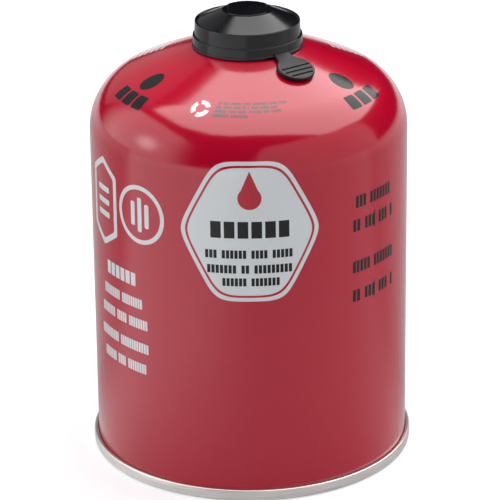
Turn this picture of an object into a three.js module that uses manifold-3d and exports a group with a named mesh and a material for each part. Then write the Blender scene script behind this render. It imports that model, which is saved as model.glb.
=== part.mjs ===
// Threaded gas canister with a self-sealing valve and a press-on cap.
// Millimetres, +Z up, origin at the middle of the face that the canister stands on.

import * as THREE from 'three';
import { mergeVertices } from 'three/addons/utils/BufferGeometryUtils.js';
import Module from 'manifold-3d';

const wasm = await Module();
wasm.setup();

// Driving dimensions of the can
const BODY_RADIUS = 53.4;
const WALL_TOP = 113.9;
const SHOULDER_RADIUS = 21.3;
const SHOULDER_TURN = THREE.MathUtils.degToRad(65.6);
const CROWN_RADIUS = 243;
const STEEL_SHEET = 0.35;
const OPENING_RADIUS = 12.65;
const CURL_RADIUS = 1.3;
const CURL_LIFT = 0.9;
const NECK_STEP = 0.77;
const NECK_FLARE = 0.7;
const POCKET_ROOF_DROP = 0.63;
const POCKET_DEPTH = 19;

// The seamed end
const SEAM_HEIGHT = 3.9;
const SEAM_WALL = 1.3;
const SEAM_FOOT = 1;
const SEAM_ROUNDING = 0.6;
const SEAM_LIP_DROP = 0.2;
const END_SHEET = 0.5;
const COUNTERSINK_ROUNDING = 2.2;
const END_DOME_RADIUS = 150;
const END_DOME_TOP = 15;

// The valve cup and what it carries
const CUP_SHEET = 0.35;
const CUP_FLOOR_DROP = 4.9;
const CRIMP_REACH = 0.85;
const CRIMP_START = 0.5;
const CRIMP_SHOULDER = 0.35;
const CRIMP_BAND = 0.45;
const CUP_TAPER = 0.3;
const BOSS_RADIUS = 5.3;
const BOSS_RISE = 7;
const BOSS_HOLE_RADIUS = 2.1;
const BOSS_ROOT_ROUNDING = 1.1;
const BOSS_EDGE = 0.4;
const GASKET = 0.45;
const STEM_GASKET = 1.2;
const STEM_RADIUS = 1.4;
const STEM_FLANGE_RADIUS = 2.4;
const STEM_FLANGE = 1.1;
const STEM_RECESS = 0.7;
const STEM_GUIDE_RADIUS = 0.95;
const STEM_GUIDE_LENGTH = 3.6;
const STEM_CHAMFER = 0.25;
const SPRING_WIRE_RADIUS = 0.3;
const SPRING_RADIUS = 1.75;
const SPRING_LENGTH = 9.5;
const SPRING_TURNS = 5.5;
const CHAMBER_RADIUS = 2.9;
const HOUSING_WALL = 1.2;
const HOUSING_COLLAR = 1.8;
const HOUSING_CHAMFER = 0.4;
const COLLAR_CHAMFER = 0.2;
const TAIL_LEAD = 1;
const TAIL_LENGTH = 6;
const TAIL_BORE_RADIUS = 0.8;

// The cap, one moulding
const CAP_WALL = 0.95;
const CAP_ROOM = 0.23;
const CAP_STEP = 0.6;
const CAP_FLANGE = 0.9;
const CAP_FLANGE_REACH = 0.4;
const LOWER_BAND = 3.8;
const UPPER_BAND = 4.75;
const RIM_LIP = 0.7;
const RIM_VALLEY = 0.5;
const CONE_RISE = 3.5;
const PLATEAU_RADIUS = 8.3;
const PAD_RADIUS = 7.9;
const PAD_HALF_WIDTH = 6.2;
const PAD_RISE = 0.35;
const BAND_DRAFT = 0.15;
const CAP_EDGE = 0.15;
const LEDGE_EDGE = 0.2;
const SNAP_REACH = 0.7;
const SNAP_LEAD = 0.6;
const SNAP_BAND = 0.3;
const SNAP_PLACE = 0.75;

// The opener tab on the cap's flange
const TAB_HEADING = THREE.MathUtils.degToRad(-53.4);
const TAB_THICKNESS = 1.15;
const TAB_NECK_WIDTH = 5.9;
const TAB_HEAD_WIDTH = 13;
const TAB_HEAD_LENGTH = 12;
const TAB_HEAD_PLACE = 26.5;
const TAB_FILLET = 1.6;
const GROOVE_COUNT = 3;
const GROOVE_PITCH = 2;
const GROOVE_WIDTH = 0.7;
const GROOVE_DEPTH = 0.35;
const GROOVE_START = -0.4;
const GROOVE_MARGIN = 0.9;

// Gaps: between pieces that touch, and in the small sealed stack of the valve
const CLEARANCE = 0.3;
const SEAT_GAP = 0.15;

const BODY_STEPS = 60;
const VALVE_STEPS = 32;

// Points on a circle of the section, from one angle to the other
function arc(r, z, radius, from, to, steps) {
  const points = [];
  for (let i = 0; i <= steps; i++) {
    const angle = from + ((to - from) * i) / steps;
    points.push(new THREE.Vector2(r + radius * Math.cos(angle), z + radius * Math.sin(angle)));
  }
  return points;
}

const at = (r, z) => new THREE.Vector2(r, z);
const turn = (degrees) => THREE.MathUtils.degToRad(degrees);

// A section drawn anticlockwise in the (radius, height) half plane, revolved about Z
function revolve(section, steps) {
  return new THREE.LatheGeometry(section, steps).rotateX(Math.PI / 2);
}

// A ring's section, closed on itself before it is revolved
function revolveRing(section, steps) {
  return revolve([...section, section[0].clone()], steps);
}

// The two faces of a sheet that follows a path: each point moves half the thickness along the mitre
function sheetFaces(path, thickness) {
  const sides = [1, -1].map((side) =>
    path.map((point, i) => {
      const before = path[Math.max(i - 1, 0)];
      const after = path[Math.min(i + 1, path.length - 1)];
      const into = i > 0 ? point.clone().sub(before).normalize() : after.clone().sub(point).normalize();
      const out = i < path.length - 1 ? after.clone().sub(point).normalize() : into.clone();
      const mitre = into.clone().add(out).normalize();
      const reach = thickness / 2 / Math.max(mitre.dot(into), 0.5);
      return at(point.x - side * reach * mitre.y, point.y + side * reach * mitre.x);
    }),
  );
  return { left: sides[0], right: sides[1] };
}

// Manifold solids, for the places where one form is cut into or joined to another
function solid(geometry) {
  const bare = geometry.clone();
  bare.deleteAttribute('normal');
  bare.deleteAttribute('uv');
  const merged = mergeVertices(bare, 1e-4);
  return new wasm.Manifold(
    new wasm.Mesh({
      numProp: 3,
      vertProperties: new Float32Array(merged.attributes.position.array),
      triVerts: new Uint32Array(merged.index.array),
    }),
  );
}

function geometryOf(manifold) {
  const mesh = manifold.getMesh();
  const geometry = new THREE.BufferGeometry();
  geometry.setAttribute('position', new THREE.BufferAttribute(new Float32Array(mesh.vertProperties), 3));
  geometry.setIndex(new THREE.BufferAttribute(new Uint32Array(mesh.triVerts), 1));
  geometry.computeVertexNormals();
  return geometry;
}

// The can's crown: the shoulder arc ends where the shallow crown arc takes over, in one tangent
const shoulderCentre = at(BODY_RADIUS - SHOULDER_RADIUS, WALL_TOP);
const crownCentre = at(
  shoulderCentre.x + (SHOULDER_RADIUS - CROWN_RADIUS) * Math.cos(SHOULDER_TURN),
  shoulderCentre.y + (SHOULDER_RADIUS - CROWN_RADIUS) * Math.sin(SHOULDER_TURN),
);

function crownHeight(radius) {
  return crownCentre.y + Math.sqrt(CROWN_RADIUS ** 2 - (radius - crownCentre.x) ** 2);
}

function crownAngle(radius) {
  return Math.acos((radius - crownCentre.x) / CROWN_RADIUS);
}

// Places that follow from the can
const curlCentre = at(OPENING_RADIUS + CURL_RADIUS, 0);
curlCentre.y = crownHeight(curlCentre.x + CURL_RADIUS) + CURL_LIFT + CURL_RADIUS;
const neckRadius = OPENING_RADIUS + NECK_STEP;
const pocketRoof = crownHeight(neckRadius) - POCKET_ROOF_DROP;
const pocketFloor = pocketRoof - POCKET_DEPTH;

const seamRadius = BODY_RADIUS + CLEARANCE + SEAM_WALL;
const skirtInner = BODY_RADIUS - STEEL_SHEET;
const chuckWallOuter = skirtInner - CLEARANCE;

// The end's panel: inward dome, rounding and chuck wall in one tangent run, at an offset from its middle
const chuckWall = chuckWallOuter - END_SHEET / 2;
const endDomeCentre = END_DOME_TOP - END_DOME_RADIUS;
const roundingCentre = at(chuckWall - COUNTERSINK_ROUNDING, 0);
roundingCentre.y =
  endDomeCentre + Math.sqrt((END_DOME_RADIUS - COUNTERSINK_ROUNDING) ** 2 - roundingCentre.x ** 2);

function panelFace(offset) {
  const meet = Math.atan2(roundingCentre.y - endDomeCentre, roundingCentre.x);
  return [
    ...arc(0, endDomeCentre, END_DOME_RADIUS + offset, Math.PI / 2, meet, 5),
    ...arc(roundingCentre.x, roundingCentre.y, COUNTERSINK_ROUNDING + offset, meet, 0, 3).slice(1),
  ];
}

function makeCanShell() {
  const skirtFoot = SEAM_FOOT + CLEARANCE;
  const hidden = panelFace(END_SHEET / 2 + CLEARANCE);
  const section = [
    ...hidden,
    at(skirtInner, skirtFoot),
    at(BODY_RADIUS, skirtFoot),
    ...arc(shoulderCentre.x, shoulderCentre.y, SHOULDER_RADIUS, 0, SHOULDER_TURN, 8),
    ...arc(
      crownCentre.x,
      crownCentre.y,
      CROWN_RADIUS,
      SHOULDER_TURN,
      crownAngle(neckRadius + NECK_FLARE),
      4,
    ).slice(1),
    ...arc(curlCentre.x, curlCentre.y, CURL_RADIUS, turn(-100), turn(180), 7),
    at(OPENING_RADIUS, pocketRoof),
    at(neckRadius, pocketRoof),
    at(neckRadius, pocketFloor),
    at(0, pocketFloor),
  ];
  return revolve(section, BODY_STEPS);
}

function makeBaseEnd() {
  const seamInner = chuckWall - END_SHEET / 2;
  const seamMouth = BODY_RADIUS + CLEARANCE;
  const rounding = SEAM_ROUNDING;
  const section = [
    ...panelFace(-END_SHEET / 2),
    ...arc(seamInner + rounding, rounding, rounding, turn(180), turn(270), 2),
    ...arc(seamRadius - rounding, rounding, rounding, turn(-90), 0, 2),
    ...arc(seamRadius - rounding, SEAM_HEIGHT - rounding, rounding, 0, turn(90), 2),
    at(seamMouth, SEAM_HEIGHT - SEAM_LIP_DROP),
    at(seamMouth, SEAM_FOOT),
    at(chuckWallOuter, SEAM_FOOT),
    ...panelFace(END_SHEET / 2).reverse(),
  ];
  return revolve(section, BODY_STEPS);
}

// The valve cup's rim rolls over the gasket and the can's curl, and its wall drops through the opening
const gasketArc = CURL_RADIUS + SEAT_GAP + GASKET / 2;
const rimArc = gasketArc + GASKET / 2 + SEAT_GAP + CUP_SHEET / 2;
const cupWall = curlCentre.x - rimArc;
const rimRadius = curlCentre.x + rimArc + CUP_SHEET / 2;
const rimTop = curlCentre.y + rimArc + CUP_SHEET / 2;
const cupFloor = curlCentre.y - CUP_FLOOR_DROP;
const bossWall = BOSS_RADIUS - CUP_SHEET / 2;
const bossBore = BOSS_RADIUS - CUP_SHEET;
const bossTop = curlCentre.y + BOSS_RISE;
const bossUnderside = bossTop - CUP_SHEET;

function makeCupGasket() {
  const path = [
    ...arc(curlCentre.x, curlCentre.y, gasketArc, turn(20), turn(180), 8),
    at(curlCentre.x - gasketArc, pocketRoof + GASKET),
  ];
  const faces = sheetFaces(path, GASKET);
  return revolveRing([...faces.right, ...faces.left.reverse()], VALVE_STEPS);
}

function makeValveCup() {
  const crimpTop = pocketRoof - 2 * SEAT_GAP - CUP_SHEET / 2;
  const floorMiddle = cupFloor + CUP_SHEET / 2;
  const bossMiddle = bossTop - CUP_SHEET / 2;
  const path = [
    ...arc(curlCentre.x, curlCentre.y, rimArc, turn(-40), turn(180), 11),
    at(cupWall, crimpTop + CRIMP_START),
    at(cupWall + CRIMP_REACH, crimpTop - CRIMP_SHOULDER),
    at(cupWall + CRIMP_REACH, crimpTop - CRIMP_SHOULDER - CRIMP_BAND),
    at(cupWall - CUP_TAPER, floorMiddle),
    ...arc(
      bossWall + BOSS_ROOT_ROUNDING,
      floorMiddle + BOSS_ROOT_ROUNDING,
      BOSS_ROOT_ROUNDING,
      turn(-90),
      turn(-180),
      3,
    ),
    at(bossWall, bossMiddle - BOSS_EDGE),
    at(bossWall - BOSS_EDGE, bossMiddle),
    at(BOSS_HOLE_RADIUS, bossMiddle),
  ];
  const faces = sheetFaces(path, CUP_SHEET);
  return revolveRing([...faces.right, ...faces.left.reverse()], VALVE_STEPS);
}

// The stack inside the boss, from the top down: rubber ring, stem flange, spring, chamber floor
const stemGasketTop = bossUnderside - SEAT_GAP;
const stemGasketFoot = stemGasketTop - STEM_GASKET;
const collarRadius = bossBore - CLEARANCE;
const collarTop = stemGasketFoot - SEAT_GAP;
const flangeTop = stemGasketFoot - SEAT_GAP;
const flangeFoot = flangeTop - STEM_FLANGE;
const springTop = flangeFoot - SEAT_GAP;
const springFoot = springTop - SPRING_LENGTH;
const chamberFloor = springFoot - SEAT_GAP;

function makeStemGasket() {
  const hole = STEM_RADIUS + SEAT_GAP;
  const section = [
    at(hole, stemGasketFoot),
    at(collarRadius, stemGasketFoot),
    at(collarRadius, stemGasketTop),
    at(hole, stemGasketTop),
  ];
  return revolveRing(section, VALVE_STEPS);
}

function makeValveStem() {
  const stemTop = bossTop - STEM_RECESS;
  const section = [
    at(0, flangeFoot - STEM_GUIDE_LENGTH),
    at(STEM_GUIDE_RADIUS - STEM_CHAMFER, flangeFoot - STEM_GUIDE_LENGTH),
    at(STEM_GUIDE_RADIUS, flangeFoot - STEM_GUIDE_LENGTH + STEM_CHAMFER),
    at(STEM_GUIDE_RADIUS, flangeFoot),
    at(STEM_FLANGE_RADIUS, flangeFoot),
    at(STEM_FLANGE_RADIUS, flangeTop),
    at(STEM_RADIUS, flangeTop),
    at(STEM_RADIUS, stemTop - STEM_CHAMFER),
    at(STEM_RADIUS - STEM_CHAMFER, stemTop),
    at(STEM_RADIUS / 2, stemTop),
    at(0, stemTop - STEM_CHAMFER),
  ];
  return revolve(section, VALVE_STEPS);
}

class Helix extends THREE.Curve {
  getPoint(t, target = new THREE.Vector3()) {
    const angle = 2 * Math.PI * SPRING_TURNS * t;
    const low = springFoot + SPRING_WIRE_RADIUS;
    const high = springTop - SPRING_WIRE_RADIUS;
    return target.set(SPRING_RADIUS * Math.cos(angle), SPRING_RADIUS * Math.sin(angle), low + (high - low) * t);
  }
}

function makeValveSpring() {
  const wire = new THREE.Shape().absarc(0, 0, SPRING_WIRE_RADIUS, 0, 2 * Math.PI);
  return new THREE.ExtrudeGeometry(wire, {
    steps: Math.round(12 * SPRING_TURNS),
    curveSegments: 3,
    bevelEnabled: false,
    extrudePath: new Helix(),
  });
}

function makeValveHousing() {
  const barrel = CHAMBER_RADIUS + HOUSING_WALL;
  const tail = TAIL_BORE_RADIUS + HOUSING_WALL;
  const floorFoot = chamberFloor - HOUSING_WALL;
  const section = [
    at(TAIL_BORE_RADIUS, floorFoot - TAIL_LENGTH),
    at(tail - HOUSING_CHAMFER, floorFoot - TAIL_LENGTH),
    at(tail, floorFoot - TAIL_LENGTH + TAIL_LEAD),
    at(tail, floorFoot),
    at(barrel - HOUSING_CHAMFER, floorFoot),
    at(barrel, floorFoot + HOUSING_CHAMFER),
    at(barrel, collarTop - HOUSING_COLLAR),
    at(collarRadius, collarTop - HOUSING_COLLAR + COLLAR_CHAMFER),
    at(collarRadius, collarTop),
    at(CHAMBER_RADIUS, collarTop),
    at(CHAMBER_RADIUS, chamberFloor),
    at(TAIL_BORE_RADIUS, chamberFloor),
  ];
  return revolveRing(section, VALVE_STEPS);
}

// The cap's upper band passes the valve cup's rim, and the cap rests just off the crown
const capRimRadius = rimRadius + CAP_ROOM + CAP_WALL;
const ledgeRadius = capRimRadius + CAP_STEP + BAND_DRAFT;
const flangeRadius = ledgeRadius + CAP_FLANGE_REACH;
const capFoot = crownHeight(flangeRadius) + CLEARANCE;
const ledgeHeight = capFoot + LOWER_BAND;
const rimHeight = ledgeHeight + UPPER_BAND;
const plateauHeight = rimHeight + CONE_RISE;
const padTop = plateauHeight + PAD_RISE;
const valleyRadius = capRimRadius - RIM_LIP;
const valleyHeight = rimHeight - RIM_VALLEY;

function makeCapShell() {
  const upperInner = capRimRadius - CAP_WALL;
  const lowerInner = ledgeRadius - CAP_WALL - BAND_DRAFT;
  const snapRadius = Math.max(rimRadius + SEAT_GAP, lowerInner - SNAP_REACH);
  const snapHeight = curlCentre.y - rimArc * SNAP_PLACE;
  const slope = (plateauHeight - valleyHeight) / (valleyRadius - PLATEAU_RADIUS);
  const drop = CAP_WALL * Math.sqrt(1 + slope ** 2);
  const innerFoot = crownHeight(lowerInner) + CLEARANCE;
  const section = [
    at(0, plateauHeight - CAP_WALL),
    at(PLATEAU_RADIUS - (slope * CAP_WALL) / 2, plateauHeight - CAP_WALL),
    at(upperInner, valleyHeight - drop - slope * (upperInner - valleyRadius)),
    at(upperInner, ledgeHeight + CAP_WALL / 2),
    at(lowerInner, ledgeHeight - CAP_WALL / 2),
    at(lowerInner, snapHeight + SNAP_LEAD),
    at(snapRadius, snapHeight + SNAP_BAND / 3),
    at(snapRadius, snapHeight - (2 * SNAP_BAND) / 3),
    at(lowerInner, innerFoot),
    at(flangeRadius, capFoot),
    at(flangeRadius, capFoot + CAP_FLANGE - CAP_EDGE),
    at(flangeRadius - CAP_EDGE, capFoot + CAP_FLANGE),
    at(ledgeRadius + BAND_DRAFT / 2, capFoot + CAP_FLANGE),
    at(ledgeRadius, ledgeHeight - LEDGE_EDGE),
    at(ledgeRadius - LEDGE_EDGE, ledgeHeight),
    at(capRimRadius + BAND_DRAFT, ledgeHeight),
    at(capRimRadius, rimHeight - CAP_EDGE),
    at(capRimRadius - CAP_EDGE, rimHeight),
    at(valleyRadius + CAP_EDGE, rimHeight),
    at(valleyRadius, valleyHeight),
    at(PLATEAU_RADIUS, plateauHeight),
    at(0, plateauHeight),
  ];
  return revolve(section, BODY_STEPS);
}

// The raised pad: a disc with two flats
function makePad() {
  const corner = Math.acos(PAD_HALF_WIDTH / PAD_RADIUS);
  const outline = new THREE.Shape();
  outline.absarc(0, 0, PAD_RADIUS, corner, Math.PI - corner);
  outline.absarc(0, 0, PAD_RADIUS, Math.PI + corner, 2 * Math.PI - corner);
  const overlap = CAP_WALL / 2;
  return new THREE.ExtrudeGeometry(outline, {
    depth: PAD_RISE + overlap,
    curveSegments: 8,
    bevelEnabled: false,
  }).translate(0, 0, plateauHeight - overlap);
}

// The tab's outline in its own plane: x runs out along the tab, measured from the cap's axis
function tabOutline() {
  const halfNeck = TAB_NECK_WIDTH / 2;
  const headLength = TAB_HEAD_LENGTH / 2;
  const headWidth = TAB_HEAD_WIDTH / 2;
  const start = ledgeRadius - CAP_WALL / 2;
  const meet = Math.PI - Math.asin(halfNeck / headWidth) - TAB_FILLET / headLength;
  const neckEnd = TAB_HEAD_PLACE + (headLength + TAB_FILLET) * Math.cos(meet);
  const outline = new THREE.Shape();
  outline.moveTo(start, -halfNeck);
  outline.quadraticCurveTo(
    neckEnd,
    -halfNeck,
    TAB_HEAD_PLACE + headLength * Math.cos(meet),
    -headWidth * Math.sin(meet),
  );
  outline.absellipse(TAB_HEAD_PLACE, 0, headLength, headWidth, -meet, meet, false, 0);
  outline.quadraticCurveTo(neckEnd, halfNeck, start, halfNeck);
  outline.closePath();
  return outline;
}

// The tab lies parallel to the crown below it
const tabSlope = Math.atan2(
  crownHeight(flangeRadius) - crownHeight(TAB_HEAD_PLACE),
  TAB_HEAD_PLACE - flangeRadius,
);

function inTabPlace(geometry) {
  return geometry
    .translate(-flangeRadius, 0, 0)
    .rotateY(tabSlope)
    .translate(flangeRadius, 0, capFoot + CLEARANCE / 2)
    .rotateZ(TAB_HEADING);
}

function makeTab() {
  return inTabPlace(
    new THREE.ExtrudeGeometry(tabOutline(), {
      depth: TAB_THICKNESS,
      curveSegments: 14,
      bevelEnabled: false,
    }),
  );
}

function makeGroove(index) {
  const outward = GROOVE_START + index * GROOVE_PITCH;
  const chord = TAB_HEAD_WIDTH * Math.sqrt(1 - (outward / (TAB_HEAD_LENGTH / 2)) ** 2);
  const groove = new THREE.BoxGeometry(GROOVE_WIDTH, chord - 2 * GROOVE_MARGIN, 2 * GROOVE_DEPTH);
  return inTabPlace(groove.translate(TAB_HEAD_PLACE + outward, 0, TAB_THICKNESS));
}

function makeCap() {
  let cap = solid(makeCapShell()).add(solid(makePad())).add(solid(makeTab()));
  for (let i = 0; i < GROOVE_COUNT; i++) {
    cap = cap.subtract(solid(makeGroove(i)));
  }
  return geometryOf(cap);
}

function addPiece(parent, name, geometry, color, roughness, metalness) {
  const material = new THREE.MeshStandardMaterial({ color, roughness, metalness });
  const mesh = new THREE.Mesh(geometry, material);
  mesh.name = name;
  parent.add(mesh);
}

const canister = new THREE.Group();
const can = new THREE.Group();
const valve = new THREE.Group();
canister.add(can, valve);

addPiece(can, 'can_shell', makeCanShell(), 0xa3253a, 0.3, 0.4);
addPiece(can, 'base_end', makeBaseEnd(), 0xbdb8b0, 0.35, 1);
addPiece(valve, 'cup_gasket', makeCupGasket(), 0x26262a, 0.8, 0);
addPiece(valve, 'valve_cup', makeValveCup(), 0xc2beb6, 0.3, 1);
addPiece(valve, 'stem_gasket', makeStemGasket(), 0x26262a, 0.8, 0);
addPiece(valve, 'valve_stem', makeValveStem(), 0xe8e6de, 0.5, 0);
addPiece(valve, 'valve_spring', makeValveSpring(), 0xb4b4b4, 0.3, 1);
addPiece(valve, 'valve_housing', makeValveHousing(), 0xe8e6de, 0.5, 0);
addPiece(canister, 'cap', makeCap(), 0x242226, 0.5, 0);

export default canister;
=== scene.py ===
# %% [markdown]
# # A gas canister, turned and dressed
#
# The object is a red steel gas canister with a black plastic cap. Nearly all of it is round, so the
# lesson is about drawing half a section and spinning it, and about the lacquer, the tinplate and the
# plastic that make it look real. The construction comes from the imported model, which fixes every size and
# place. Here each visible piece is drawn again with a finer section and stands in for the coarse solid of
# the same name.

import math

import bpy
from mathutils import Matrix, Vector


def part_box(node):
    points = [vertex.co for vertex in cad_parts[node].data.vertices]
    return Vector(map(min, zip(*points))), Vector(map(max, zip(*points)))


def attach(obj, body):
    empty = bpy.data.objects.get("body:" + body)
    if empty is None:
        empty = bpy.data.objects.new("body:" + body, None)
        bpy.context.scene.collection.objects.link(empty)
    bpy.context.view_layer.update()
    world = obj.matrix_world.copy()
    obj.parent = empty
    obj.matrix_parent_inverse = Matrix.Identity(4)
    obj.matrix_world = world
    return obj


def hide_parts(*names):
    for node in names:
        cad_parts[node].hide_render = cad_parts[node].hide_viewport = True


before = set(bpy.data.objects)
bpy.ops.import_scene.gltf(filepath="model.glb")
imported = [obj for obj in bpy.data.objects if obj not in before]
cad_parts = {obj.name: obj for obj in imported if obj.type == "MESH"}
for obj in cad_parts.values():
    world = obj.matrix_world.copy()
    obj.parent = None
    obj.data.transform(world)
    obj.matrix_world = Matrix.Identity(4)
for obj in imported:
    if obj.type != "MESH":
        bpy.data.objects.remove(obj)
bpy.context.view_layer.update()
print("pieces in the frame:", sorted(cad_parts))

# %% [markdown]
# ## Sizes
#
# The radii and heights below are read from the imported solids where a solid's box shows them. The few that
# a box can't show, such as the radius of the shoulder, are written once here, in metres, and everything
# else follows.

# %% Driving sizes
MM = 0.001
can_low, can_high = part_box("can_shell")
end_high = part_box("base_end")[1]
cup_low, cup_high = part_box("valve_cup")
cap_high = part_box("cap")[1]
gasket_low, gasket_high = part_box("stem_gasket")
stem_low, stem_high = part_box("valve_stem")
housing_low, housing_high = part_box("valve_housing")
spring_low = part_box("valve_spring")[0]

BODY_RADIUS = can_high.x
WALL_TOP = 113.9 * MM
SHOULDER_RADIUS = 21.3 * MM
SHOULDER_TURN = math.radians(65.6)
CROWN_RADIUS = 243 * MM
CURL_RADIUS = 1.3 * MM
OPENING_RADIUS = 12.65 * MM
SHEET = 0.35 * MM
SEAM_RADIUS = end_high.x
SEAM_HEIGHT = 3.9 * MM
SKIRT_GAP = 0.3 * MM
END_DOME_RADIUS = 150 * MM
END_DOME_TOP = 15 * MM
RIM_RADIUS = cup_high.x
BOSS_TOP = cup_high.z
BOSS_RADIUS = 5.3 * MM
PAD_TOP = cap_high.z
print("body radius %.1f mm, height %.1f mm" % (BODY_RADIUS / MM, PAD_TOP / MM))

# %% [markdown]
# The can's section has two arcs that meet in one tangent: the tight shoulder and the shallow crown. This
# helper gives the crown's height over any radius, because the cap and the tab lie just above it.

# %% The crown's arcs
shoulder_centre = Vector((BODY_RADIUS - SHOULDER_RADIUS, WALL_TOP))
crown_centre = shoulder_centre + (SHOULDER_RADIUS - CROWN_RADIUS) * Vector(
    (math.cos(SHOULDER_TURN), math.sin(SHOULDER_TURN)))


def crown_height(radius):
    return crown_centre.y + math.sqrt(CROWN_RADIUS ** 2 - (radius - crown_centre.x) ** 2)


def arc(centre, radius, start, end, steps):
    """Points on a circle of the section, from one angle to the other."""
    angles = [start + (end - start) * i / steps for i in range(steps + 1)]
    return [(centre[0] + radius * math.cos(a), centre[1] + radius * math.sin(a)) for a in angles]


def softened(corners, steps=3):
    """Rounds each corner of a section: a corner is (radius, height, rounding)."""
    points = []
    for i, (r, z, rounding) in enumerate(corners):
        here = Vector((r, z))
        if rounding == 0 or i in (0, len(corners) - 1):
            points.append((r, z))
            continue
        back = (Vector(corners[i - 1][:2]) - here)
        ahead = (Vector(corners[i + 1][:2]) - here)
        reach = min(rounding, back.length * 0.45, ahead.length * 0.45)
        start = here + back.normalized() * reach
        end = here + ahead.normalized() * reach
        for k in range(steps + 1):
            t = k / steps
            points.append(tuple((1 - t) ** 2 * start + 2 * t * (1 - t) * here + t ** 2 * end))
    return points


print("crown at the cap's edge: %.2f mm" % (crown_height(18.7 * MM) / MM))

# %% [markdown]
# ## Turning a piece
#
# A turned or pressed round piece is half a section, spun once about the axis. By hand one would add a
# plane, merge it to a single vertex, extrude that vertex along the section, and spin the line it leaves.
# This helper does the same, then welds the seam and the poles and points the faces outwards.

# %% The turning helper
WELD = 0.001 * MM


def new_circle(name, vertices, radius, place=(0, 0, 0), fill="NGON"):
    """Adds a circle and leaves it as the active object."""
    bpy.ops.object.select_all(action="DESELECT")
    bpy.ops.mesh.primitive_circle_add(vertices=vertices, radius=radius, fill_type=fill, location=place)
    bpy.context.object.name = name
    return bpy.context.object


def bevelled(piece, width, segments, least_angle=30):
    """Bevels the edges sharper than an angle in degrees; the piece is the active object."""
    bevel = piece.modifiers.new("edge", "BEVEL")
    bevel.width = width
    bevel.segments = segments
    bevel.limit_method = "ANGLE"
    bevel.angle_limit = math.radians(least_angle)
    bpy.ops.object.modifier_apply(modifier=bevel.name)


def settle():
    """Moves the active object's place, turn and scale into its mesh."""
    bpy.ops.object.transform_apply(location=True, rotation=True, scale=True)


def smooth(degrees):
    bpy.ops.object.shade_smooth_by_angle(angle=math.radians(degrees))


def start_edit():
    bpy.ops.object.mode_set(mode="EDIT")
    bpy.ops.mesh.select_all(action="SELECT")


def finish_edit():
    bpy.ops.mesh.select_all(action="SELECT")
    bpy.ops.mesh.remove_doubles(threshold=WELD)
    bpy.ops.mesh.normals_make_consistent(inside=False)
    bpy.ops.object.mode_set(mode="OBJECT")
    settle()


def turned(name, section, steps=144, closed=False, sharp=35):
    """Draws half a section from (radius, height) points and spins it about the axis."""
    path = list(section) + ([section[0]] if closed else [])
    bpy.ops.object.select_all(action="DESELECT")
    bpy.ops.mesh.primitive_plane_add(size=MM, location=(path[0][0], 0, path[0][1]))
    piece = bpy.context.object
    piece.name = name
    start_edit()
    bpy.ops.mesh.merge(type="CENTER")
    for (r0, z0), (r1, z1) in zip(path, path[1:]):
        bpy.ops.mesh.extrude_vertices_move(TRANSFORM_OT_translate={"value": (r1 - r0, 0, z1 - z0)})
    bpy.ops.mesh.select_all(action="SELECT")
    bpy.ops.mesh.spin(steps=steps, angle=2 * math.pi, center=(0, 0, 0), axis=(0, 0, 1))
    finish_edit()
    smooth(sharp)
    print("%s: %d faces" % (name, len(piece.data.polygons)))
    return piece


def stands_for(piece, node, body):
    """The piece takes the place of a coarse solid and moves with its body."""
    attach(piece, body)
    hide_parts(node)


# %% [markdown]
# ## The can
#
# The real can is drawn from one disc of steel: straight wall, round shoulder, shallow crown, a short neck
# and a curl that rolls outwards round the opening. The section starts just above the end's dome, turns at
# the skirt inside the seam, runs up to the curl and goes down into a pocket for the valve.

# %% The can's shell
dome_centre = (0, END_DOME_TOP - END_DOME_RADIUS)
floor_radius = END_DOME_RADIUS + 0.8 * MM
floor_edge = BODY_RADIUS - 4 * MM
curl_centre = (OPENING_RADIUS + CURL_RADIUS, can_high.z - CURL_RADIUS)
neck = OPENING_RADIUS + 2.2 * SHEET
crown_end = math.acos((neck + 2 * SHEET - crown_centre.x) / CROWN_RADIUS)
pocket_roof = crown_height(neck) - 1.8 * SHEET
can_section = (
    arc(dome_centre, floor_radius, math.pi / 2, math.acos(floor_edge / floor_radius), 16)
    + [(BODY_RADIUS - SHEET, 7 * MM)]
    + [(BODY_RADIUS - SHEET, can_low.z), (BODY_RADIUS, can_low.z)]
    + [(BODY_RADIUS, z * MM) for z in (20, 60, 100)]
    + arc(shoulder_centre, SHOULDER_RADIUS, 0, SHOULDER_TURN, 28)
    + arc(crown_centre, CROWN_RADIUS, SHOULDER_TURN, crown_end, 14)[1:]
    + arc(curl_centre, CURL_RADIUS, math.radians(-105), math.pi, 18)
    + [(OPENING_RADIUS, pocket_roof), (neck, pocket_roof), (neck, pocket_roof - 19 * MM)]
    + [(0, pocket_roof - 19 * MM)])
can = turned("red_can", can_section, steps=192)
stands_for(can, "can_shell", "canister")

# %% [markdown]
# ## The seamed end
#
# The end is stamped from tinplate and rolled onto the can's skirt in a double seam, the bright ring at
# the foot. The ring is slightly barrelled, with a rounded top and foot and a hairline gap to the red
# wall. Under the can the chuck wall turns over into a smooth concave panel, which lets the end stand up
# to the gas inside.

# %% The end
END_SHEET = 0.5 * MM
ROUNDING = 2.2 * MM
chuck_wall = BODY_RADIUS - SHEET - SKIRT_GAP - END_SHEET / 2
seam_mouth = BODY_RADIUS + 0.12 * MM
rounding_centre = (chuck_wall - ROUNDING, dome_centre[1] + math.sqrt(
    (END_DOME_RADIUS - ROUNDING) ** 2 - (chuck_wall - ROUNDING) ** 2))
rounding_meet = math.atan2(rounding_centre[1] - dome_centre[1], rounding_centre[0])


def panel_face(offset):
    """One face of the end's sheet: dome, rounding and chuck wall."""
    dome = arc(dome_centre, END_DOME_RADIUS + offset, math.pi / 2, rounding_meet, 24)
    return dome + arc(rounding_centre, ROUNDING + offset, rounding_meet, 0, 8)[1:]


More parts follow.
